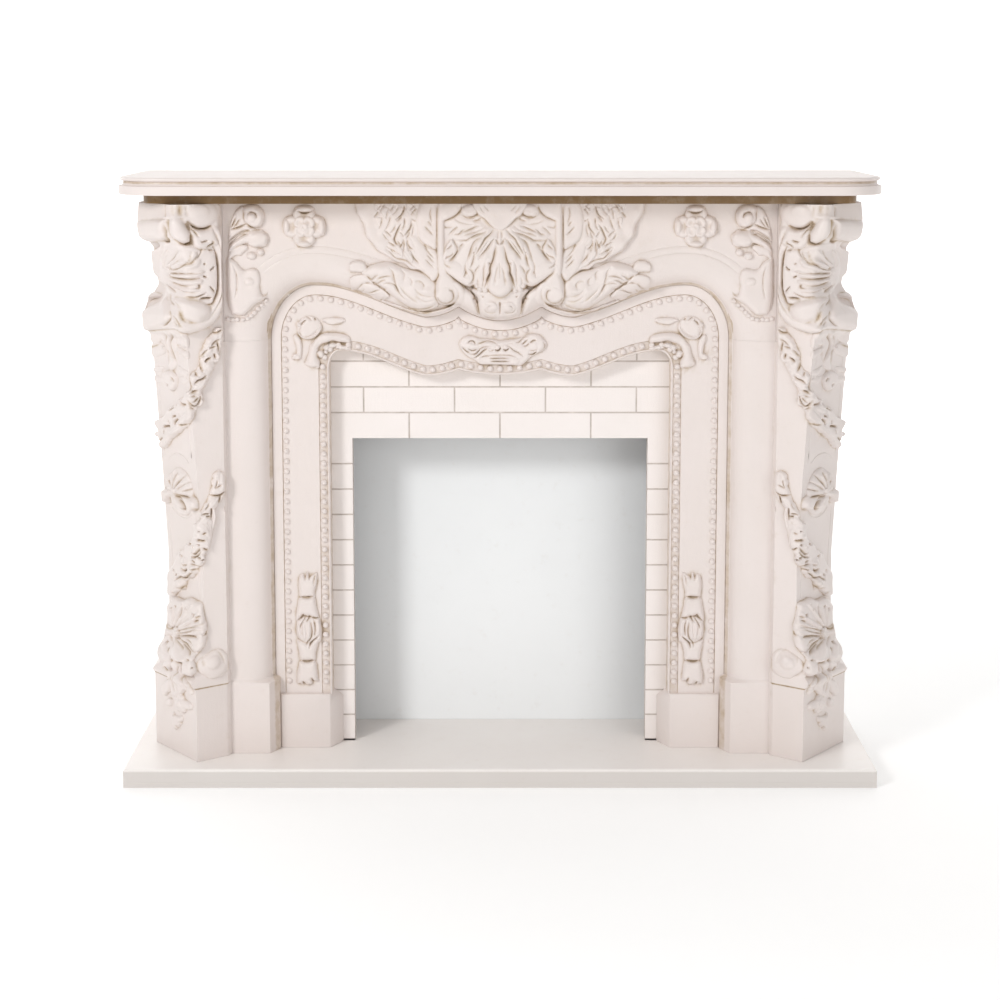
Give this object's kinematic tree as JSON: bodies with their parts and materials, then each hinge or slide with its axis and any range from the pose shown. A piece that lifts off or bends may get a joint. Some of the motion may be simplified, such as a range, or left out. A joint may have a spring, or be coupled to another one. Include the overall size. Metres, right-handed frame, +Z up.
{
  "type": "fireplace mantel",
  "caption": "Carved fireplace mantel with canted console legs, an arched frieze, a moulded shelf, a beaded inner frame, brick slips and a hearth slab.",
  "frame": {"origin": "centre of the bounding box in plan, at floor level under the hearth slab", "axes": "+X to the viewer's right along the shelf, +Y from the front towards the wall, +Z up"},
  "size_m": [1.5, 0.41, 1.2105],
  "materials": {
    "ivory_paint": "satin ivory paint over cast stone, with a thin beige-brown glaze left in the crevices of the carving",
    "hearth_paint": "satin ivory-white paint over a cast slab",
    "brick_paint": "matt ivory-white paint over brick slips, with grey-beige joints",
    "board_paint": "matt cool white paint on a plain board"
  },
  "bodies": {
    "root": {"hearth_slab": "hearth_paint", "leg_left": "ivory_paint", "leg_right": "ivory_paint", "frieze": "ivory_paint", "shelf": "ivory_paint", "arched_frame": "ivory_paint", "brick_panel": "brick_paint", "firebox_back": "board_paint"}
  },
  "joints": []
}
